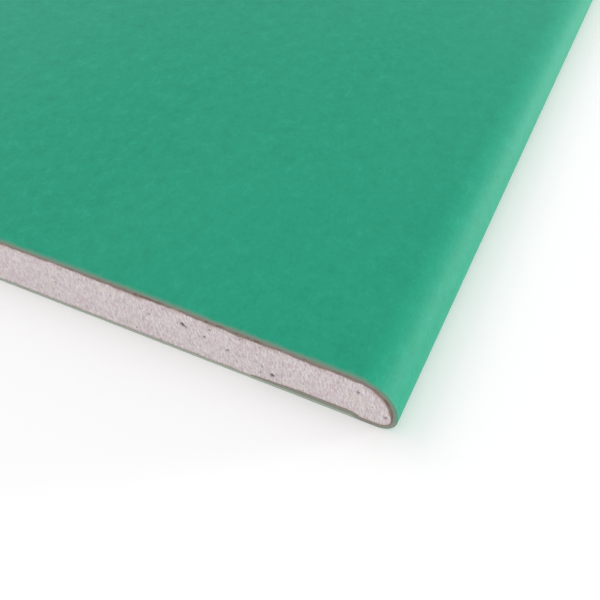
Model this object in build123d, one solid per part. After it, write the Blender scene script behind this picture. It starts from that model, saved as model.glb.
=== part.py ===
from build123d import *
import os
from math import atan2, pi, tan

# A full sheet of moisture-resistant plasterboard, lying flat with its green face up.
# X runs across the board, Y along it and Z up. The origin is the middle of its underside.

# Overall size, in millimetres
board_length = 2500.0
board_width = 1200.0
board_thickness = 12.5

# Both long edges: the face slopes down a little and then rolls over into a rounded nose
taper_width = 50.0  # from the tip of the nose to the full thickness
taper_depth = 1.3  # drop of the sloping face, carried on to the tip of the nose
taper_blend_radius = 500.0  # eases the flat face into the slope
nose_tip_height = 3.7  # the outermost line of the edge, above the underside
nose_back_radius = 3.5  # turns the edge into the flat underside

# Paper liners
face_paper_thickness = 0.9
back_paper_thickness = 0.8
open_fold_width = 3.0  # flat strip of folded face paper that the back paper leaves bare
back_paper_bevel = 1.5  # the back paper thins out to nothing over this much of its edge
lap_width = 20.0  # how far the folded face paper reaches in under the back paper

half_width = board_width / 2
edge_height = board_thickness - taper_depth
edge_corner_angle = pi / 2 + atan2(taper_depth, taper_width)
nose_face_radius = (edge_height - nose_tip_height) * tan(edge_corner_angle / 2)
back_paper_reach = half_width - nose_back_radius - open_fold_width
fold_end = back_paper_reach - lap_width


def board_section():
    """Outline of the whole board as cut across: flat underside, two round noses, two tapers."""
    corners = [
        ((-half_width, 0), nose_back_radius),
        ((half_width, 0), nose_back_radius),
        ((half_width, edge_height), nose_face_radius),
        ((half_width - taper_width, board_thickness), taper_blend_radius),
        ((taper_width - half_width, board_thickness), taper_blend_radius),
        ((-half_width, edge_height), nose_face_radius),
    ]
    points = [point for point, _ in corners]
    radii = [radius for _, radius in corners]
    return make_face(FilletPolyline(*points, radius=radii, close=True))


def back_paper_section():
    """The outer layer of the underside, with both long edges bevelled to lie on the fold."""
    inner_reach = back_paper_reach - back_paper_bevel
    outline = Polyline(
        (-back_paper_reach, 0),
        (back_paper_reach, 0),
        (inner_reach, back_paper_thickness),
        (-inner_reach, back_paper_thickness),
        close=True,
    )
    return make_face(outline)


def face_paper_section(wrapped):
    """A skin of even thickness round the face and noses, folded under as far as the lap."""
    skin = wrapped - offset(wrapped, amount=-face_paper_thickness)
    between_folds = Pos(0, board_thickness / 4) * Rectangle(2 * fold_end, board_thickness / 2)
    return skin - between_folds


def sheet(section):
    """Runs a section, drawn in X and Z, over the whole length of the board."""
    return extrude(Plane.XZ * section, amount=board_length / 2, both=True)


back_paper = back_paper_section()
wrapped_in_face_paper = board_section() - back_paper
face_paper = face_paper_section(wrapped_in_face_paper)
gypsum_core = wrapped_in_face_paper - face_paper

os.makedirs("parts", exist_ok=True)
export_step(sheet(gypsum_core), "parts/gypsum_core.step")
export_step(sheet(face_paper), "parts/face_paper.step")
export_step(sheet(back_paper), "parts/back_paper.step")
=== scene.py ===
# %% [markdown]
# # A drywall sheet, seen over one corner
#
# A drywall sheet is a slab of set gypsum between two liners of strong paper. The board comes from the
# CAD model as a fixed frame of three nodes: the gypsum, the green face paper and the grey back paper.
# The CAD mesh is coarse, and its cut ends are perfectly clean. From close by, the eye looks for what a
# saw leaves: a rough core with air pores, and paper edges that are frayed and rubbed pale. So each node
# is made again here as a finer surface that follows the same section.

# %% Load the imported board
import math

import bpy
import numpy as np
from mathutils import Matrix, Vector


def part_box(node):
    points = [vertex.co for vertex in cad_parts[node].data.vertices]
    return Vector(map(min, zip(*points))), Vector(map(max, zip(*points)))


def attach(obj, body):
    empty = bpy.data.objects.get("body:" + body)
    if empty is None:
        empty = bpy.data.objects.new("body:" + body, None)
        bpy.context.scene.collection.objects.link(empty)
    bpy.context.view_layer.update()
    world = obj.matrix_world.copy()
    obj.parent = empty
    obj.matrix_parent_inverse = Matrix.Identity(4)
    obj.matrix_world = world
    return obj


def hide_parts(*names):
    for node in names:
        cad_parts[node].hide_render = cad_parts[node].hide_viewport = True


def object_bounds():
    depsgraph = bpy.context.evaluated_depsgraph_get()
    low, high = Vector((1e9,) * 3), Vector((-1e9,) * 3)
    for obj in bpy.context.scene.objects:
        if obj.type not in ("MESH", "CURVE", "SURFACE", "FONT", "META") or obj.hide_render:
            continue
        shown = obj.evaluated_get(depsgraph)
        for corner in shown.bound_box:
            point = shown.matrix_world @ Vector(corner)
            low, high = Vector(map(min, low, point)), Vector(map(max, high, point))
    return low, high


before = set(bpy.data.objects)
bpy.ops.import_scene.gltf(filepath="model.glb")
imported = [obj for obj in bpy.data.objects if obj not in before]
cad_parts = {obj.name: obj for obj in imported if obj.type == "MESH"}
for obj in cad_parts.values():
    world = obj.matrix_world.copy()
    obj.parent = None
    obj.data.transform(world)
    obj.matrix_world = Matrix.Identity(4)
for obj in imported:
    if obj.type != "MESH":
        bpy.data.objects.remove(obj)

MM = 0.001
cad_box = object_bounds()
board_low, board_high = (np.array(corner) for corner in cad_box)
print("board in mm:", np.round((board_high - board_low) / MM, 2))

# %% [markdown]
# ## Sizes
#
# The overall sizes and the paper thicknesses are read from the nodes' boxes, so they can't drift away
# from the frame. The shape of the long edge can't be read from a box, so its few sizes are named here:
# a face that slopes down towards the edge, a large rounding on the face side and a small one below.

# %% Sizes of the section
core_high = np.array(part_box("gypsum_core")[1])
back_high = np.array(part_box("back_paper")[1])

HALF_WIDTH = board_high[0]
HALF_LENGTH = board_high[1]
THICKNESS = board_high[2]
FACE_PAPER = HALF_WIDTH - core_high[0]
BACK_PAPER = back_high[2]
BACK_REACH = back_high[0]

TAPER_WIDTH = 50 * MM
TAPER_DEPTH = 1.3 * MM
TAPER_BLEND = 500 * MM  # radius of the curve that eases the taper into the flat face
NOSE_TIP_HEIGHT = 3.7 * MM
NOSE_BACK_RADIUS = 3.5 * MM
BACK_BEVEL = 1.5 * MM  # width of the bevelled edge of the back paper
LAP_WIDTH = 20 * MM  # how far the back paper covers the folded face paper

taper_angle = math.atan2(TAPER_DEPTH, TAPER_WIDTH)
nose_height = THICKNESS - TAPER_DEPTH - NOSE_TIP_HEIGHT
nose_face_radius = nose_height * math.tan(math.pi / 4 + taper_angle / 2)
print("papers in mm:", round(FACE_PAPER / MM, 3), round(BACK_PAPER / MM, 3))
print("nose radius on the face side in mm:", round(nose_face_radius / MM, 3))

# %% [markdown]
# ## The path of the face paper
#
# The face paper is one strip that starts under the board, goes round one nose, over the face, round the
# other nose and back under. A curve could be laid through a few measured points, but its roundings
# would be a little lumpy. The strip is easier to describe by how it turns: each stretch has a length
# and an angle that it turns through. Runs turn through nothing and arcs turn evenly. The heading is
# then known everywhere, and the position is the running sum of steps in that heading.

# %% Walk along half of the section
PATH_STEPS = 120000
CREASE_RADIUS = FACE_PAPER  # where the folded paper steps up over the edge of the back paper


def half_path():
    """Points and outward normals from the folded edge, round the nose, to the middle of the face.

    Heading = sum of the turns so far, spread evenly along each stretch. Position = running sum of
    (cos heading, sin heading) times the step. The outward normal is the heading turned right by 90
    degrees.
    """
    dip = math.atan2(BACK_PAPER, BACK_BEVEL)
    crease, crease_reach = CREASE_RADIUS * dip, CREASE_RADIUS * math.tan(dip / 2)
    blend_reach = TAPER_BLEND * math.tan(taper_angle / 2)
    taper_run = math.hypot(TAPER_WIDTH, TAPER_DEPTH) - blend_reach - nose_height
    face_turn = math.pi / 2 - taper_angle
    stretches = [
        (LAP_WIDTH - BACK_BEVEL - crease_reach, 0.0),  # covered by the back paper
        (crease, -dip),
        (math.hypot(BACK_BEVEL, BACK_PAPER) - 2 * crease_reach, 0.0),  # along the bevel
        (crease, dip),
        (HALF_WIDTH - NOSE_BACK_RADIUS - BACK_REACH - crease_reach, 0.0),  # bare, on the floor
        (NOSE_BACK_RADIUS * math.pi / 2, math.pi / 2),
        (NOSE_TIP_HEIGHT - NOSE_BACK_RADIUS, 0.0),  # upright, up to the tip of the nose
        (nose_face_radius * face_turn, face_turn),
        (taper_run, 0.0),
        (TAPER_BLEND * taper_angle, taper_angle),
        (HALF_WIDTH - TAPER_WIDTH - blend_reach, 0.0),  # flat, to the middle of the board
    ]
    lengths, turns = np.array(stretches).T
    stops = np.concatenate([[0.0], np.cumsum(lengths)])
    headings = np.concatenate([[0.0], np.cumsum(turns)])
    along = np.linspace(0, stops[-1], PATH_STEPS + 1)
    heading = np.interp(along, stops, headings)
    middle = (heading[1:] + heading[:-1]) / 2
    steps = np.diff(along)[:, None] * np.stack([np.cos(middle), np.sin(middle)], 1)
    points = np.concatenate([[[0.0, 0.0]], np.cumsum(steps, 0)])
    points += np.array([0.0, THICKNESS]) - points[-1]
    normals = np.stack([np.sin(heading), -np.cos(heading)], 1)
    return along, points, normals


half_along, half_points, half_normals = half_path()
nose_tip_along = half_along[half_points[:, 0].argmax()]
print("fold starts in mm:", np.round(half_points[0] / MM, 3))
print("tip in mm:", np.round(half_points.max(0) / MM, 3))

# %% The whole way round
SKIVE = 9 * MM  # the hidden edge of the fold is thinned over this distance, so that it leaves no step
SKIVED_SHARE = 0.3

full_path = 2 * half_along[-1]
print("way round the section in mm:", round(full_path / MM, 1))


def paper_thickness(along):
    """Full thickness, but thinner near both ends of the path, where the folded edges are skived."""
    from_end = np.minimum(along, full_path - along)
    return FACE_PAPER * np.interp(from_end, [0, SKIVE], [SKIVED_SHARE, 1])


def around(along):
    """Points and normals at distances along the whole path: the first half, then its mirror image."""
    mirrored = along > half_along[-1]
    nearest = np.where(mirrored, full_path - along, along)
    side = np.where(mirrored, -1.0, 1.0)
    point = np.stack([np.interp(nearest, half_along, half_points[:, k]) for k in (0, 1)], 1)
    normal = np.stack([np.interp(nearest, half_along, half_normals[:, k]) for k in (0, 1)], 1)
    point[:, 0] *= side
    normal[:, 0] *= side
    return point, normal


# %% [markdown]
# ## Where the grid lines go
#
# A sheet of 1.2 by 2.5 metres with detail of a quarter of a millimetre would need millions of faces if
# its grid were even. The detail is only wanted close to the cut ends and around the rounded edges, so
# the lines are placed by a wish: a spacing is named at a few stops, and the lines follow it.

# %% Uneven spacing
SPACING_SAMPLES = 200001


def spaced(stops, gaps):
    """Positions whose spacing follows the gaps that are wanted at the stops.

    Count(x) = integral of 1 / gap up to x. The positions are where that count passes whole numbers.
    """
    fine = np.linspace(stops[0], stops[-1], SPACING_SAMPLES)
    density = 1 / np.interp(fine, stops, gaps)
    steps = (density[1:] + density[:-1]) / 2 * np.diff(fine)
    count = np.concatenate([[0.0], np.cumsum(steps)])
    return np.interp(np.linspace(0, count[-1], round(count[-1]) + 1), count, fine)


print("lines in a metre whose gaps grow from 1 to 100 mm:", len(spaced([0, 1], [MM, 100 * MM])))

# %% [markdown]
# ## Soft noise
#
# What a saw leaves is never even, yet it changes gradually from place to place. Noise that is random
# from one small square to the next, and smooth in between, looks like that. Blender's own noise nodes
# colour a surface, but here the points themselves have to move, so the noise is worked out on arrays.
# Every use has a seed, so each run makes the same board.

# %% Noise on a lattice, and smooth steps
LATTICE = 256


def soft_noise(x, y, cell, seed):
    """Smooth random heights between -1 and 1, with features about one cell wide.

    Each point lies in a square of a lattice of random numbers, and blends the four corners with the
    weights 3 t^2 - 2 t^3 in both directions.
    """
    lattice = np.random.default_rng(seed).uniform(-1, 1, (LATTICE, LATTICE))
    column, row = np.floor(x / cell), np.floor(y / cell)
    across, up = x / cell - column, y / cell - row
    across, up = across**2 * (3 - 2 * across), up**2 * (3 - 2 * up)
    left, low = column.astype(int) % LATTICE, row.astype(int) % LATTICE
    right, high = (left + 1) % LATTICE, (low + 1) % LATTICE
    below = lattice[low, left] * (1 - across) + lattice[low, right] * across
    above = lattice[high, left] * (1 - across) + lattice[high, right] * across
    return below * (1 - up) + above * up


def step_up(x, low, high):
    """Goes smoothly from 0 at low to 1 at high: 3 t^2 - 2 t^3 of the clipped share of the way."""
    t = np.clip((x - low) / (high - low), 0, 1)
    return t**2 * (3 - 2 * t)


trial = soft_noise(np.linspace(0, 100, 1001), np.zeros(1001), 1.0, seed=1)
print("soft noise over a hundred cells runs from", trial.min().round(2), "to", trial.max().round(2))

# %% [markdown]
# ## From a grid of points to a closed solid
#
# Every piece is made the same way. The first direction of its grid runs across the board. The second
# is a loop in the plane of the board's length: along the outside, over the far cut end, back along the
# inside, and over the near cut end. A loop closes on itself, and the two last loops are filled with one
# face each, so the piece is watertight. Its volume tells whether the faces look outwards.

# %% Grid to mesh
SHARP_ANGLE = math.radians(50)


def fan(loop):
    """Sum over the triangles that fill a loop, all from its first point a, of a . (b x c)."""
    return loop[0] @ np.cross(loop, np.roll(loop, -1, 0)).sum(0)


def solid_from_loops(name, grid, **values):
    """A closed mesh from points of shape (loops, points in a loop, 3), with one named value per point.

    Face (i, j) joins points (i, j), (i+1, j), (i+1, j+1) and (i, j+1), where j+1 wraps round. Signed
    volume = sum over triangles of a . (b x c) / 6, with the two filled loops counted in; if it is
    negative, every face is turned over.
    """
    loops, around_loop = grid.shape[:2]
    index = np.arange(loops * around_loop).reshape(loops, around_loop)
    turned = np.roll(index, -1, 1)
    quads = np.stack([index[:-1], index[1:], turned[1:], turned[:-1]], -1).reshape(-1, 4)
    points = grid.reshape(-1, 3)
    centred = points - points.mean(0)
    a, b, c, d = (centred[quads[:, k]] for k in range(4))
    sides = np.einsum("ij,ij->", a, np.cross(b, c)) + np.einsum("ij,ij->", a, np.cross(c, d))
    volume = (sides + fan(centred[index[0]]) - fan(centred[index[-1]])) / 6
    faces = quads if volume > 0 else quads[:, ::-1]
    first, last = (index[0], index[-1][::-1]) if volume > 0 else (index[0][::-1], index[-1])
    mesh = bpy.data.meshes.new(name)
    mesh.from_pydata(points.tolist(), [], faces.tolist() + [first.tolist(), last.tolist()])
    for value_name, value in values.items():
        attribute = mesh.attributes.new(value_name, "FLOAT", "POINT")
        attribute.data.foreach_set("value", np.ascontiguousarray(value, np.float32).ravel())
    mesh.shade_smooth()
    mesh.set_sharp_from_angle(angle=SHARP_ANGLE)
    mesh.update()
    piece = bpy.data.objects.new(name, mesh)
    bpy.context.collection.objects.link(piece)
    print(name, "faces", len(mesh.polygons), "volume in litres", round(abs(volume) * 1000, 3))
    return piece


# %% [markdown]
# ## What the saw leaves on the paper
#
# A cut liner is never a clean line. Where it lies open, its outer ply is dragged back a little more
# than the ply that is glued to the gypsum, so the edge is a small ragged bevel that shows pale fibres
# from above. The paper just behind it is pressed down and rubbed. A painted edge would stay straight
# against the floor and the gypsum, so the points are moved. Both liners get this edge from one
# function.

# %% A paper liner with two cut edges
BEHIND_CUT = np.array([0, 0.05, 0.12, 0.22, 0.35, 0.55, 0.8, 1.2, 2, 4, 12, 60, 400]) * MM
BEHIND_CUT_INSIDE = np.array([0, 0.4, 3, 60]) * MM
PLIES = np.array([0.08, 0.2, 0.35, 0.5, 0.65, 0.8, 0.92])  # rows on the cut, as shares of the thickness
SETTLE = 0.4 * MM  # how far behind the cut its raggedness dies away
TUFT, FIBRE = 2.6 * MM, 0.7 * MM  # widths of the coarse and the fine raggedness
PLY_SHIFT = 3 * MM  # how far the noise moves on from the outer to the inner side
END_SHIFT = LATTICE * MM  # the two ends read the noise this far to each side, so that they differ


def paper_liner(name, point, normal, along, thickness, drag, seed, **values):
    """A strip of paper whose section follows the given points, cut off raggedly at both ends.

    Outer point = path point. Inner point = path point - normal * thickness. Within a few tenths of a
    millimetre of a cut, the outer side is dragged back by (drag * noise) and pressed in by half of that.
    A further value is given once for each point of the path and holds for that point's whole loop.
    """
    def cut(side, behind, share):
        """Rows behind one cut end, at a share of the way from the outer side to the inner side."""
        place = along[:, None] * np.ones_like(behind)[None, :]
        spot = place + side * END_SHIFT
        coarse = soft_noise(spot, share * PLY_SHIFT, TUFT, seed) * 0.5 + 0.5
        fine = soft_noise(spot, share * PLY_SHIFT, FIBRE, seed + 1) * 0.5 + 0.5
        ragged = 0.35 + 0.35 * coarse + 0.3 * fine
        outer_part = (1 - share) ** 1.5
        back = drag[:, None] * ragged * (0.15 + 0.85 * outer_part)
        fade = np.exp(-behind / SETTLE)[None, :]
        y = side * (HALF_LENGTH - behind[None, :] - back * fade)
        depth = thickness[:, None] * share + back * outer_part * fade / 2
        x = point[:, 0, None] - normal[:, 0, None] * depth
        z = point[:, 1, None] - normal[:, 1, None] * depth
        return np.stack([x, y, z], -1), share * np.ones_like(place), fade * ragged

    rows = [
        cut(-1, BEHIND_CUT, 0.0),
        tuple(part[:, ::-1] for part in cut(1, BEHIND_CUT, 0.0)),
        *(cut(1, BEHIND_CUT[:1], share) for share in PLIES),
        cut(1, BEHIND_CUT_INSIDE, 1.0),
        tuple(part[:, ::-1] for part in cut(-1, BEHIND_CUT_INSIDE, 1.0)),
        *(cut(-1, BEHIND_CUT[:1], share) for share in PLIES[::-1]),
    ]
    grid, ply, wear = (np.concatenate(parts, 1) for parts in zip(*rows))
    values = {value_name: value[:, None] * np.ones_like(ply) for value_name, value in values.items()}
    return solid_from_loops(name, grid, ply=ply, wear=wear, **values)


# %% [markdown]
# ## The two liners
#
# On the real board the face paper wraps the long edges, and the back paper is a flat strip that laps
# over its folds. Each is one call of the function above, with a row of points, a thickness for each of
# them, and how far the saw dragged it. The grid is finest at the long edge under the camera. Two more
# values go along for the colours: where the face paper is folded under, and where it is soaked with glue.

# %% The face paper
FINE, PLAIN, WIDE = 0.3 * MM, 0.5 * MM, 2.4 * MM
CLOSE_UP = 120 * MM  # how far in from a long edge the grid stays fine
SOAKED_FROM, SOAKED_FULLY = 60 * MM, 15 * MM  # distances from the long edge

face_along = spaced(
    [0, nose_tip_along + CLOSE_UP, nose_tip_along + 2 * CLOSE_UP,
     full_path - nose_tip_along - CLOSE_UP, full_path - nose_tip_along - CLOSE_UP / 2, full_path],
    [FINE, FINE, WIDE, WIDE, PLAIN, PLAIN],
)
face_point, face_normal = around(face_along)
open_side = step_up(face_normal[:, 1], -0.6, 0.2)  # 0 where the paper is folded in under the board
near_edge = step_up(np.abs(face_point[:, 0]), HALF_WIDTH - SOAKED_FROM, HALF_WIDTH - SOAKED_FULLY)
face_drag = (0.03 + 0.15 * open_side) * MM
face_liner = paper_liner(
    "green_face_liner", face_point, face_normal, face_along,
    paper_thickness(face_along), face_drag, seed=11,
    folded=1 - open_side, soaked=near_edge * open_side,
)

# %% The back paper
FEATHER = 0.03  # the bevelled edge keeps this share of the thickness, so that it is no knife edge

back_across = spaced(
    [-BACK_REACH, CLOSE_UP - BACK_REACH, 2 * CLOSE_UP - BACK_REACH,
     BACK_REACH - 2 * CLOSE_UP, BACK_REACH - CLOSE_UP, BACK_REACH],
    [PLAIN, PLAIN, WIDE, WIDE, FINE, FINE],
)
back_point = np.stack([back_across, np.zeros_like(back_across)], 1)
back_normal = np.tile([0.0, -1.0], (len(back_across), 1))
bevel = np.clip((BACK_REACH - np.abs(back_across)) / BACK_BEVEL, FEATHER, 1)
back_drag = np.full(len(back_across), 0.04 * MM)
back_liner = paper_liner(
    "grey_back_liner", back_point, back_normal, back_across, BACK_PAPER * bevel, back_drag, seed=23,
)

# %% [markdown]
# ## The gypsum core
#
# The core fills what the liners leave. At the cut ends it is a granular wall: shallow waves, short
# steep streaks where the saw dragged grains along, a crumbled line under the face paper, and round
# pores left by air in the wet mix. A bump in the material would show the grain, but not the shadow in
# a pore or under the paper, so the wall is a grid fine enough to hold them. The paper hides the top
# and the underside, and they stay plain.

# %% Columns across the core
TIP_GAP = 0.012 * MM  # the finest gap, where the core runs out in the nose

core_half = core_high[0]
far_stops = np.array([0, 0.5, 1.6, 60, 160]) * MM
near_stops = np.array([0, 0.5, 1.6, 90, 190]) * MM
core_across = spaced(
    np.concatenate([far_stops - core_half, (core_half - near_stops)[::-1]]),
    np.array([TIP_GAP / MM, 0.2, 0.4, 0.4, 5, 5, 0.2, 0.2, 0.12, TIP_GAP / MM]) * MM,
)
inner_half = half_points - half_normals * paper_thickness(half_along)[:, None]
under = half_along < nose_tip_along
reach = np.abs(core_across)
core_top = np.interp(reach, inner_half[~under][::-1, 0], inner_half[~under][::-1, 1])
core_bottom = np.interp(reach, inner_half[under][:, 0], inner_half[under][:, 1])
core_bottom = np.where(reach < half_points[0, 0], BACK_PAPER, core_bottom)
print("thickness of the core in mm:", round((core_top - core_bottom).max() / MM, 3))

# %% Rows up the cut
share_stops = np.array([0, 0.05, 0.12, 0.88, 0.95, 1])
share_gaps = np.array([0.009, 0.018, 0.032, 0.032, 0.018, 0.009])
rise = spaced(share_stops, share_gaps)[None, :]
column = core_across[:, None] * np.ones_like(rise)
height = core_bottom[:, None] + (core_top - core_bottom)[:, None] * rise
to_face = (core_top[:, None] - height) / np.hypot(1, np.gradient(core_top, core_across))[:, None]
to_back = (height - core_bottom[:, None]) / np.hypot(1, np.gradient(core_bottom, core_across))[:, None]
print("columns and rows of the cut:", column.shape)

# %% Pores in the cut
# Distance from the edge of the board, height above the floor, radius and depth, all in millimetres.
PORES = np.array([
    (39.4, 7.5, 0.52, 0.9), (38.9, 7.2, 0.4, 0.65), (34.1, 8.7, 0.38, 0.5), (35.3, 6.2, 0.44, 0.55),
    (28.4, 9.3, 0.36, 0.5), (22.5, 2.8, 0.48, 0.85), (24.8, 2.3, 0.33, 0.4), (7.1, 7.1, 0.38, 0.6),
    (2.1, 3.0, 0.36, 0.55), (64.0, 10.1, 0.35, 0.4), (66.3, 5.7, 0.38, 0.5), (52.0, 8.2, 0.32, 0.35),
]) * MM
LOOSE_PORES = 60
LOOSE_DEPTH = 0.7  # share of the pore's own radius


def bowls(x, z, places, radii, depths):
    """Round hollows: depth times (1 - r^2), where r is the distance from the middle in radii."""
    total = np.zeros_like(x)
    for (place_x, place_z), radius, depth in zip(places, radii, depths):
        near = np.abs(x[:, 0] - place_x) < radius
        spread = np.hypot(x[near] - place_x, z[near] - place_z) / radius
        total[near] = np.maximum(total[near], depth * np.clip(1 - spread**2, 0, None))
    return total


def pores(seed, side):
    """The large pores near both long edges of one cut end: the named ones, and some loose ones."""
    chance = np.random.default_rng(seed)
    from_edge = chance.uniform(4, 90, LOOSE_PORES) * MM
    loose_x = (HALF_WIDTH - from_edge) * chance.choice([-1, 1], LOOSE_PORES)
    loose_z = chance.uniform(2.2, 10, LOOSE_PORES) * MM
    loose_radius = chance.uniform(0.2, 0.32, LOOSE_PORES) * MM
    named_x = -side * (HALF_WIDTH - PORES[:, 0])
    places = np.stack([np.append(named_x, loose_x), np.append(PORES[:, 1], loose_z)], 1)
    radii = np.append(PORES[:, 2], loose_radius)
    depths = np.append(PORES[:, 3], loose_radius * LOOSE_DEPTH)
    return bowls(column, height, places, radii, depths)


print("pores in each cut end:", len(PORES) + LOOSE_PORES)

# %% Relief of the cut gypsum
STREAK_LEAN = math.radians(9)
TIP_FADE = 1.5 * MM
GROOVE_FADE = 0.2 * MM
FLUSH_FADE = 0.3 * MM


def in_tip(x):
    """1 in the very tip of the core, dying away exponentially with the distance from it."""
    return np.exp(-(core_half - np.abs(x)) / TIP_FADE)


def cut_relief(x, z, seed):
    """How far the cut gypsum lies behind the plane of the cut.

    Sum of: broad waves, grains, streaks (noise stretched along a leaning line) and a crumbled groove
    that fades with the distance to the face paper and is deepest in the tip of the nose. Towards the
    back paper all but the groove dies down to a fifth, because the gypsum stays flush there. The
    weights are heights in millimetres.
    """
    lean = math.cos(STREAK_LEAN), math.sin(STREAK_LEAN)
    over, along_streak = x * lean[0] + z * lean[1], z * lean[0] - x * lean[1]
    waves = soft_noise(x, z, 6 * MM, seed) * 0.06 + soft_noise(x, z, 2.4 * MM, seed + 1) * 0.02
    grains = soft_noise(x, z, 0.9 * MM, seed + 2) * 0.03 + soft_noise(x, z, 0.5 * MM, seed + 3) * 0.03
    streaks = soft_noise(over, along_streak / 2.5, 0.45 * MM, seed + 4) * 0.03
    crumble = 0.18 + 0.12 * soft_noise(x, z, 1.6 * MM, seed + 5) + 0.12 * in_tip(x)
    groove = crumble * np.exp(-to_face / GROOVE_FADE)
    flush = 1 - 0.8 * np.exp(-to_back / FLUSH_FADE)
    depth = (0.12 + waves + grains + streaks) * flush + groove
    return np.clip(depth, 0.01, None) * MM


# %% Both cut ends, and the walls between them
GLUE_FROM, GLUE_FULLY = 100 * MM, 45 * MM  # distances from the edge of the core
BEHIND_CORE = np.array([1.5, 60, 600]) * MM


def glue_reach(x, seed):
    """How far the brown of the glue has soaked in: more towards the long edges, and uneven."""
    towards_edge = step_up(np.abs(x), core_half - GLUE_FROM, core_half - GLUE_FULLY)
    uneven = soft_noise(x, 0 * x, 7 * MM, seed) * 0.1 + soft_noise(x, 0 * x, 2 * MM, seed + 1) * 0.14
    return (0.25 + 0.42 * towards_edge + 0.1 * in_tip(x) + uneven) * MM


def core_end(side, seed):
    """One cut end from the underside up: its points, its distances to the glue lines and its hollows."""
    hollow = pores(seed + 9, side)
    y = side * (HALF_LENGTH - cut_relief(column, height, seed) - hollow)
    from_glue = to_face - glue_reach(column, seed + 20)
    relief = (HALF_LENGTH - side * y).mean() / MM
    print("cut end in mm: mean relief", round(relief, 3), "deepest pore", round(hollow.max() / MM, 3))
    return np.stack([column, y, height], -1), from_glue / MM, to_back / MM, hollow / MM


def core_wall(level):
    """Rows of points along the hidden top or underside of the core, far from any paper edge."""
    y = np.concatenate([BEHIND_CORE - HALF_LENGTH, (HALF_LENGTH - BEHIND_CORE)[::-1]])
    across = core_across[:, None] * np.ones_like(y)[None, :]
    ones, none = np.ones_like(across), np.zeros_like(across)
    points = np.stack([across, y[None, :] * ones, level[:, None] * ones], -1)
    return points, none, none, none


core_rows = [
    core_wall(core_bottom),
    core_end(1, seed=71),
    tuple(part[:, ::-1] for part in core_wall(core_top)),
    tuple(part[:, ::-1] for part in core_end(-1, seed=41)),
]
core_grid, gap_face, gap_back, hollow = (np.concatenate(parts, 1) for parts in zip(*core_rows))
core_fill = solid_from_loops(
    "gypsum_filling", core_grid, to_face=gap_face, to_back=gap_back, hollow=hollow,
)

# %% [markdown]
# ## Materials as sums
#
# A material is a recipe of numbers that change over the surface. Nodes can do that arithmetic, but a
# recipe reads better as a sum. The first class below wraps one socket, so that plus, minus and times
# on it add Math nodes. The second holds one material. Each of its other nodes comes from one method,
# which sets the node's settings first and then its sockets.

# %% Amounts that can be added and multiplied
class Amount:
    """A number that varies over a surface. Arithmetic on it adds Math nodes."""

    def __init__(self, recipe, socket):
        self.recipe, self.socket = recipe, socket

    def _math(self, operation, *values):
        made = self.recipe.node("ShaderNodeMath", {"operation": operation}, dict(enumerate(values)))
        return Amount(self.recipe, made.outputs[0])

    def __add__(self, other):
        return self._math("ADD", self, other)

    def __sub__(self, other):
        return self._math("SUBTRACT", self, other)

    def __rsub__(self, other):
        return self._math("SUBTRACT", other, self)

    def __mul__(self, other):
        return self._math("MULTIPLY", self, other)

    def larger(self, other):
        return self._math("MAXIMUM", self, other)

    def step_up(self, low, high):
        """0 below low, 1 above high and smooth between, as in the function of that name."""
        sockets = {"Value": self, "From Min": low, "From Max": high}
        made = self.recipe.node("ShaderNodeMapRange", {"interpolation_type": "SMOOTHSTEP"}, sockets)
        return Amount(self.recipe, made.outputs[0])

    __radd__, __rmul__ = __add__, __mul__


# %% Recipes
class Recipe:
    """The nodes of one material, or of the world."""

    def __init__(self, holder):
        holder.use_nodes = True
        self.holder, self.tree = holder, holder.node_tree
        self.tree.nodes.clear()

    def node(self, kind, settings=None, sockets=None):
        """Adds a node of that type, applies its settings, then gives its sockets values or links."""
        made = self.tree.nodes.new(kind)
        for setting, value in (settings or {}).items():
            setattr(made, setting, value)
        for socket, value in (sockets or {}).items():
            if isinstance(value, Amount):
                self.tree.links.new(value.socket, made.inputs[socket])
            else:
                made.inputs[socket].default_value = value
        return made

    def out(self, kind, settings=None, sockets=None, output=0):
        """The same, but gives back one of the new node's outputs."""
        return Amount(self, self.node(kind, settings, sockets).outputs[output])

    def place(self, stretch=(1, 1, 1), turn=(0, 0, 0)):
        """Object coordinates in millimetres, turned and then divided by a stretch along each axis."""
        spot = self.out("ShaderNodeTexCoord", output="Object")
        turning = {"Vector": spot, "Rotation": turn}
        turned = self.out("ShaderNodeVectorRotate", {"rotation_type": "EULER_XYZ"}, turning)
        scale = tuple(1 / (MM * s) for s in stretch)
        return self.out("ShaderNodeVectorMath", {"operation": "MULTIPLY"}, {0: turned, 1: scale})

    def noise(self, where, size, detail=2.0, rough=0.5):
        """Smooth noise around 0.5 whose blotches are about size millimetres wide."""
        sockets = {"Vector": where, "Scale": 1 / size, "Detail": detail, "Roughness": rough}
        return self.out("ShaderNodeTexNoise", None, sockets)

    def value(self, name):
        """A value stored on the mesh's points."""
        return self.out("ShaderNodeAttribute", {"attribute_name": name}, output="Fac")

    def blend(self, share, first, second):
        """A colour that goes from the first to the second with the share."""
        sockets = {0: share, 6: first, 7: second}
        return self.out("ShaderNodeMix", {"data_type": "RGBA", "clamp_factor": True}, sockets, output=2)

    def finish(self, colour, height, relief_depth, roughness, gloss, sheen=0.0):
        """The surface shader, with a bump from the height, and the material's output."""
        bump = self.out("ShaderNodeBump", None, {"Height": height, "Distance": relief_depth})
        plain = {"Roughness": roughness, "Specular IOR Level": gloss, "Sheen Weight": sheen}
        sockets = {"Base Color": colour, "Normal": bump, **plain}
        shader = self.out("ShaderNodeBsdfPrincipled", None, sockets)
        self.node("ShaderNodeOutputMaterial", None, {"Surface": shader})
        print(self.holder.name, "has", len(self.tree.nodes), "nodes")
        return self.holder


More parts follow.
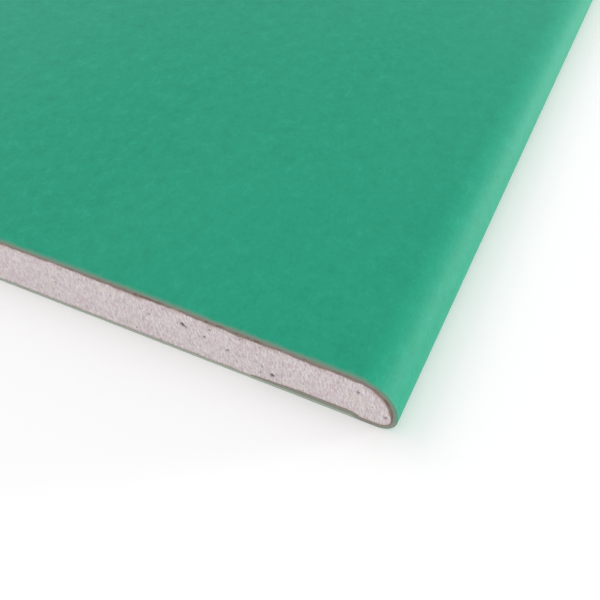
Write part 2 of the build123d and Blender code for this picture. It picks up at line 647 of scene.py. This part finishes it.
def srgb(red, green, blue):
    """A colour of 0 to 255 as written in pictures, turned into the linear values that shaders use."""
    share = np.array([red, green, blue]) / 255
    linear = np.where(share <= 0.04045, share / 12.92, ((share + 0.055) / 1.055) ** 2.4)
    return (*linear.tolist(), 1.0)


print("middle grey of 128 as a linear value:", round(srgb(128, 128, 128)[0], 3))

# %% [markdown]
# ## Green paper
#
# The face liner is dyed recycled paper. Close up it isn't one green: fibres lie mostly along the board
# and take the dye unevenly, and there are soft cloudy patches. Seen whole, the sheet has faint long
# bands where the web took a little less dye. At a cut the dye is only skin deep. The plies under it are
# pale and grey, and a brown line follows where they are glued to the gypsum. A picture of paper would
# repeat or blur on a sheet this long, so the fibres, clouds and plies are noises in millimetres.

# %% Plies at a cut edge
PLY_DYED = srgb(84, 158, 132)
PLY_PALE = srgb(115, 149, 131)
PLY_BROWN = srgb(142, 133, 124)
PLY_FOLDED = srgb(155, 145, 135)
GLUE_DARK = srgb(122, 102, 92)


def green_plies(recipe, fibres, specks):
    """Colour across the thickness of the cut face liner: dyed, pale and brown ply, dark spots of glue."""
    frayed = (fibres - 0.5) * 0.5 + (specks - 0.5) * 0.3
    depth = recipe.value("ply") + frayed + recipe.value("soaked") * 0.12
    plies = recipe.blend(depth.step_up(0.0, 0.5), PLY_DYED, PLY_PALE)
    plies = recipe.blend(recipe.value("folded") * 0.8, plies, PLY_FOLDED)
    plies = recipe.blend(depth.step_up(0.6, 1.0), plies, PLY_BROWN)
    spots = recipe.noise(recipe.place(), 1.5, detail=2.0)
    return recipe.blend((depth + spots).step_up(1.45, 1.7), plies, GLUE_DARK)


# %% The green face paper
GREEN = srgb(9, 152, 119)
GREEN_DEEP = srgb(3, 143, 110)
GREEN_LIGHT = srgb(27, 160, 128)
GREEN_THIN = srgb(42, 160, 128)
RUBBED = srgb(92, 152, 129)
SKIN_ENDS = 0.02, 0.09  # shares of the paper's thickness over which its skin gives way to the plies


def paper_relief(clouds, fibres, specks):
    """Height of the surface of a paper: mostly fibres, with some specks and a little of the clouds."""
    return fibres * 0.6 + specks * 0.25 + clouds * 0.15


def green_paper():
    """Mottled green skin, rubbed greyer at the cuts, over the plies that show on the cut edge."""
    recipe = Recipe(bpy.data.materials.new("green_paper"))
    clouds = recipe.noise(recipe.place((1, 1.3, 1)), 3.0, detail=4.0, rough=0.9)
    fibres = recipe.noise(recipe.place((0.4, 1.1, 0.4)), 1.0, detail=3.0, rough=0.6)
    specks = recipe.noise(recipe.place(), 0.4, detail=1.0)
    tone = clouds * 0.65 + fibres * 0.25 + specks * 0.1
    green = recipe.blend(tone.step_up(0.36, 0.5), GREEN_DEEP, GREEN)
    green = recipe.blend(tone.step_up(0.5, 0.64), green, GREEN_LIGHT)
    bands = recipe.noise(recipe.place((1, 4, 1)), 70.0, detail=3.0)
    green = recipe.blend(bands.step_up(0.35, 0.65) * 0.3, green, GREEN_THIN)
    rubbed = (recipe.value("wear") + (fibres - 0.5) * 0.4).step_up(0.08, 0.85)
    skin = recipe.blend(rubbed, green, RUBBED)
    below_skin = recipe.value("ply").step_up(*SKIN_ENDS)
    colour = recipe.blend(below_skin, skin, green_plies(recipe, fibres, specks))
    relief = paper_relief(clouds, fibres, specks)
    return recipe.finish(colour, relief, 0.025 * MM, roughness=0.64, gloss=0.25, sheen=0.04)


green_finish = green_paper()

# %% [markdown]
# ## Grey paper
#
# The back liner is recycled paper too, but without dye. It is grey from old ink, with larger clouds
# and longer fibres than the face. Its cut edge is pale, and brown only where the glue has soaked in. So
# it takes the same steps as the green paper, with one tone in place of the dyed and the pale ply.

# %% The grey back paper
BACK_GREY = srgb(150, 143, 131)
BACK_LIGHT = srgb(172, 166, 154)
BACK_DARK = srgb(124, 115, 104)
BACK_PLY = srgb(176, 186, 172)


def grey_paper():
    """Mottled grey skin, rubbed pale at the cuts, over pale plies that turn brown at the glue."""
    recipe = Recipe(bpy.data.materials.new("grey_paper"))
    clouds = recipe.noise(recipe.place((1, 1.6, 1)), 7.0, detail=4.0)
    fibres = recipe.noise(recipe.place((0.2, 1.4, 0.2)), 1.0, detail=3.0, rough=0.6)
    specks = recipe.noise(recipe.place(), 0.4, detail=1.0)
    tone = clouds * 0.3 + fibres * 0.5 + specks * 0.2
    grey = recipe.blend(tone.step_up(0.34, 0.5), BACK_DARK, BACK_GREY)
    grey = recipe.blend(tone.step_up(0.5, 0.66), grey, BACK_LIGHT)
    rubbed = (recipe.value("wear") + (fibres - 0.5) * 0.6).step_up(0.45, 0.85)
    skin = recipe.blend(rubbed, grey, BACK_PLY)
    depth = recipe.value("ply") + (fibres - 0.5) * 0.4 + (specks - 0.5) * 0.3
    plies = recipe.blend(depth.step_up(0.7, 1.1), BACK_PLY, PLY_BROWN)
    colour = recipe.blend(recipe.value("ply").step_up(*SKIN_ENDS), skin, plies)
    relief = paper_relief(clouds, fibres, specks)
    return recipe.finish(colour, relief, 0.03 * MM, roughness=0.7, gloss=0.15)


grey_finish = grey_paper()

# %% [markdown]
# ## Gypsum
#
# Set gypsum is off-white with a faint pink. The cut shows tiny crystals as bright specks, grey grains,
# small air pores, and short streaks that lean the way the saw went. Next to the paper it takes up a
# little brown from the glue line. How far a point is from either paper, and how deep in a large pore,
# is known where the mesh is made. So the mesh carries both as values, and the recipe reads them. The
# pores are darkened with painted shade, more the deeper a large pore is.

# %% Crystals and pores
GYPSUM = srgb(221, 209, 211)
GYPSUM_SHADE = srgb(194, 181, 184)
GYPSUM_BRIGHT = srgb(236, 228, 229)
GYPSUM_WARM = srgb(218, 211, 200)
GYPSUM_PINK = srgb(214, 190, 195)
PORE_CELL = 2.4  # millimetres from one small pore to the next


def crystals(recipe, tone, tint):
    """Shaded grains, plain gypsum and bright crystals by the tone, warm and pink patches by the tint."""
    colour = recipe.blend(tone.step_up(0.38, 0.5), GYPSUM_SHADE, GYPSUM)
    colour = recipe.blend(tint.step_up(0.5, 0.7) * 0.45, colour, GYPSUM_WARM)
    colour = recipe.blend((1 - tint).step_up(0.5, 0.7) * 0.45, colour, GYPSUM_PINK)
    return recipe.blend(tone.step_up(0.5, 0.6), colour, GYPSUM_BRIGHT)


def air_pores(recipe, patches):
    """1 in small pores, one in each cell of a Voronoi pattern, and larger where the patches are low."""
    cells = {"Vector": recipe.place(), "Scale": 1 / PORE_CELL}
    to_middle = recipe.out("ShaderNodeTexVoronoi", {"feature": "F1"}, cells, output="Distance") * PORE_CELL
    return 1 - (to_middle + patches - 0.5).step_up(0.06, 0.24)


# %% Stains along the paper
STAIN = srgb(188, 158, 153)


def glue_stains(recipe, colour, uneven, tint):
    """The colour with a pink halo, a brown line and dark spots of glue, by the distance to the papers."""
    near_face, near_back = recipe.value("to_face") + uneven, recipe.value("to_back") + uneven
    halo_back = 0.5 - near_back.step_up(0.05, 0.6) * 0.5
    halo = (1 - near_face.step_up(0, 1.2)).larger(halo_back) * tint.step_up(0.4, 0.62)
    colour = recipe.blend(halo * 0.7, colour, STAIN)
    line_back = (1 - near_back.step_up(0.05, 0.25)) * 0.3
    colour = recipe.blend((1 - near_face.step_up(-0.1, 0.3)).larger(line_back), colour, PLY_BROWN)
    blots = recipe.noise(recipe.place(), 1.5, detail=2.0).step_up(0.55, 0.62)
    spots = (1 - near_face.step_up(-0.4, 0.0)) * blots
    return recipe.blend(spots.larger(1 - near_face.step_up(-0.9, -0.6)), colour, GLUE_DARK)


# %% The cut gypsum
# painted shade: the colour that the pores are darkened towards, in place of the shade inside them
PORE_PAINTED_SHADE = srgb(84, 74, 78)


def gypsum():
    """Crystals streaked along the saw's way, with painted shade in the pores, and stained along the
    papers.
    """
    recipe = Recipe(bpy.data.materials.new("gypsum"))
    lean = (0, STREAK_LEAN, 0)
    streaks = recipe.noise(recipe.place((0.36, 0.36, 1.2), lean), 1.0, detail=1.5)
    scratches = recipe.noise(recipe.place((0.22, 0.22, 0.7), lean), 1.0, detail=1.5)
    grains = recipe.noise(recipe.place(), 0.35, detail=2.0, rough=0.7)
    patches = recipe.noise(recipe.place(), 3.2, detail=2.0)
    tint = recipe.noise(recipe.place((1.3, 1, 1)), 2.1, detail=2.0)
    tone = streaks * 0.37 + scratches * 0.37 + grains * 0.2 + patches * 0.06
    small_pores = air_pores(recipe, patches)
    large_pores = recipe.value("hollow").step_up(0.05, 0.5)
    # painted shade in the pores: up to 0.55 in the small ones, up to 0.9 in the deepest large ones
    painted_pore_shade = (small_pores * 0.55).larger(large_pores * 0.9)
    colour = recipe.blend(painted_pore_shade, crystals(recipe, tone, tint), PORE_PAINTED_SHADE)
    uneven = (grains - 0.5) * 0.6 + (patches - 0.5) * 0.5
    colour = glue_stains(recipe, colour, uneven, tint)
    relief = streaks * 0.4 + scratches * 0.3 + grains * 0.3 - small_pores * 0.6
    return recipe.finish(colour, relief, 0.07 * MM, roughness=0.9, gloss=0.1)


gypsum_finish = gypsum()

# %% [markdown]
# ## Onto the frame
#
# Each piece gets its material, and is tied to the board. It rides on the only body there is, and it
# stands for one CAD node, which is then hidden.

# %% Give each piece its finish and its body
finishes = [
    (core_fill, gypsum_finish, "gypsum_core", "gypsum"),
    (face_liner, green_finish, "face_paper", "green_paper"),
    (back_liner, grey_finish, "back_paper", "grey_paper"),
]
for piece, material, node, slot in finishes:
    piece.data.materials.append(material)
    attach(piece, "root")
    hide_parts(node)
    print(piece.name, "stands for", node, "in", material.name)

# %% [markdown]
# ## Floor and sky
#
# The board lies on a plain white floor under an even white sky. Both should look whiter than the light
# that they give, because the light of a floor and a sky as white as that would bleach the board. That
# needs a switch. Light Path tells which rays come from the camera, straight, by way of a mirror or
# through glass, and only those meet the whiter floor and sky.

# %% Floor
FLOOR_REACH = 60.0  # metres from the middle of the board to each side
FLOOR_WHITE = 0.86
FLOOR_LIFT = 0.2


def looked_at(recipe):
    """1 for rays that show something, straight, mirrored or through glass, and 0 for all others."""
    rays = recipe.node("ShaderNodeLightPath").outputs
    straight, mirrored, through = (
        Amount(recipe, rays[name]) for name in ("Is Camera Ray", "Is Glossy Ray", "Is Transmission Ray")
    )
    return straight.larger(mirrored).larger(through)


floor_mesh = bpy.data.meshes.new("floor")
corners = np.array([[-1, -1, 0], [1, -1, 0], [1, 1, 0], [-1, 1, 0]]) * FLOOR_REACH
floor_mesh.from_pydata(corners.tolist(), [], [[0, 1, 2, 3]])
floor = bpy.data.objects.new("floor", floor_mesh)
bpy.context.collection.objects.link(floor)
floor_recipe = Recipe(bpy.data.materials.new("floor_white"))
matt = floor_recipe.out("ShaderNodeBsdfDiffuse", None, {"Color": (FLOOR_WHITE,) * 3 + (1,)})
lift = floor_recipe.out("ShaderNodeEmission", None, {"Strength": looked_at(floor_recipe) * FLOOR_LIFT})
both = floor_recipe.out("ShaderNodeAddShader", None, {0: matt, 1: lift})
floor_recipe.node("ShaderNodeOutputMaterial", None, {"Surface": both})
floor_mesh.materials.append(floor_recipe.holder)
print("floor reaches", FLOOR_REACH, "m each way and reflects", FLOOR_WHITE)

# %% Sky
SKY_LEVEL = 0.76
SKY_SEEN = 1.0

sky = Recipe(bpy.data.worlds.new("sky"))
sky_strength = looked_at(sky) * (SKY_SEEN - SKY_LEVEL) + SKY_LEVEL
white = sky.out("ShaderNodeBackground", None, {"Color": (1, 1, 1, 1), "Strength": sky_strength})
sky.node("ShaderNodeOutputWorld", None, {"Surface": white})
bpy.context.scene.world = sky.holder
print("sky lights with", SKY_LEVEL, "and is seen as", SKY_SEEN)

# %% [markdown]
# ## Lamps
#
# Three soft lamps give the rest. One high at the left and a weak one in front of the cut end keep the
# sides that face away from going grey. They are far lights, as strong everywhere on the board. One at
# the right is so low that it hardly reaches the flat face and only grazes the long edge, where it draws
# a light band along the rounding. As a far light it would also shine on the pale rear end from behind
# and bleach it. So it is a disc, near enough never to stand behind that end.

# %% Stand the lamps around the near corner
near_corner = np.array([board_high[0], board_low[1], 0.0])
LAMP_SPREAD = math.radians(30)
EDGE_LAMP_DISTANCE = 3.5  # metres


def lamp(light, towards, distance=1.0):
    """Stands a lamp at a distance from the near corner, and turns its -Z axis to that corner."""
    thing = bpy.data.objects.new(light.name, light)
    x, y, z = np.array(towards) / np.linalg.norm(towards)
    thing.rotation_euler = (math.acos(z), 0, math.atan2(y, x) + math.pi / 2)
    thing.location = near_corner + np.array([x, y, z]) * distance
    thing.visible_camera = False
    bpy.context.collection.objects.link(thing)
    print(light.name, "shines down at", round(math.degrees(math.asin(z)), 1), "degrees")


def far_light(name, strength, spread):
    """Light of one direction, blurred over the spread, as strong everywhere."""
    light = bpy.data.lights.new(name, "SUN")
    light.energy, light.angle = strength, spread
    return light


def round_light(name, strength, spread, distance):
    """A disc that looks as large as the spread from that distance, and as strong there as a far light.

    Diameter = 2 * distance * tan(spread / 2). Power = pi * distance^2 * strength.
    """
    light = bpy.data.lights.new(name, "AREA")
    light.shape, light.size = "DISK", 2 * distance * math.tan(spread / 2)
    light.energy = math.pi * distance**2 * strength
    return light


lamp(far_light("lamp_left", 0.5, LAMP_SPREAD), (-0.75, 0.2, 0.72))
edge_light = round_light("lamp_right", 3.3, LAMP_SPREAD / 2, EDGE_LAMP_DISTANCE)
lamp(edge_light, (0.8, 0.6, 0.035), EDGE_LAMP_DISTANCE)
lamp(far_light("lamp_front", 0.3, LAMP_SPREAD), (0.1, -0.9, 0.42))

# %% [markdown]
# ## Camera
#
# The camera is close to one corner and looks down along the board. Its place and angles follow from
# how the two edges of that corner run together in the picture. The lens is counted in pixels, and a
# sensor as wide as the picture turns that into millimetres.

# %% Camera
CAMERA_FROM_CORNER = np.array([16.08, -70.56, 111.5]) * MM
CAMERA_AZIMUTH = math.radians(25.27)
CAMERA_ELEVATION = math.radians(48.10)
SENSOR, PICTURE, FOCAL_PIXELS = 36.0, 600.0, 800.0

camera_data = bpy.data.cameras.new("camera")
camera_data.sensor_width = SENSOR
camera_data.lens = FOCAL_PIXELS * SENSOR / PICTURE
camera_data.clip_start = 1 * MM
camera = bpy.data.objects.new("camera", camera_data)
camera.location = near_corner + CAMERA_FROM_CORNER
camera.rotation_euler = (math.pi / 2 - CAMERA_ELEVATION, 0, CAMERA_AZIMUTH)
bpy.context.collection.objects.link(camera)
bpy.context.scene.camera = camera
bpy.context.scene.view_settings.view_transform = "Standard"
print("lens in mm:", camera_data.lens, "at", np.round(np.array(camera.location), 3))
